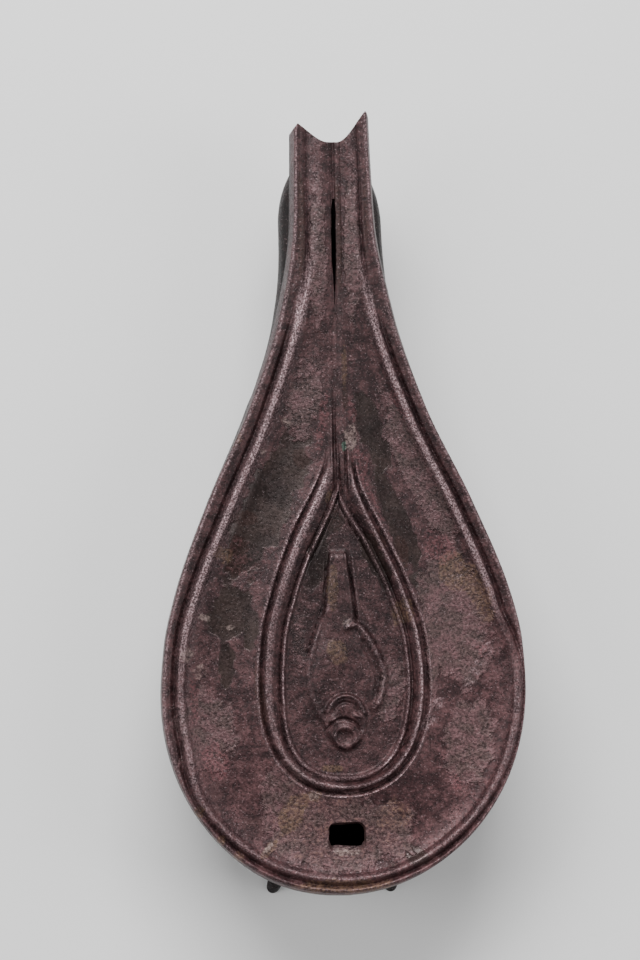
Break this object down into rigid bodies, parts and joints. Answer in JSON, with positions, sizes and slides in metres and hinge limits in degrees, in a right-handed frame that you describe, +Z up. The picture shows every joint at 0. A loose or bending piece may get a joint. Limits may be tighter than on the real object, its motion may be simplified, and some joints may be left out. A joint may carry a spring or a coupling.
{
  "type": "oil lamp",
  "caption": "Closed drop-shaped bronze oil lamp lying flat, with a long fishtail nozzle, moulded cover, relief field, filling hole, wick slit and small feet.",
  "frame": {"origin": "middle of the bounding box at the level of the feet", "axes": "+Z up out of the cover, +Y along the neck towards the fishtail, +X to the right when seen from above with the neck away"},
  "size_m": [0.0924, 0.1992, 0.0377],
  "materials": {
    "old_bronze": "dark purple-brown cast bronze, worn, with granular corrosion"
  },
  "bodies": {
    "root": {"lamp_body": "old_bronze"}
  },
  "joints": []
}
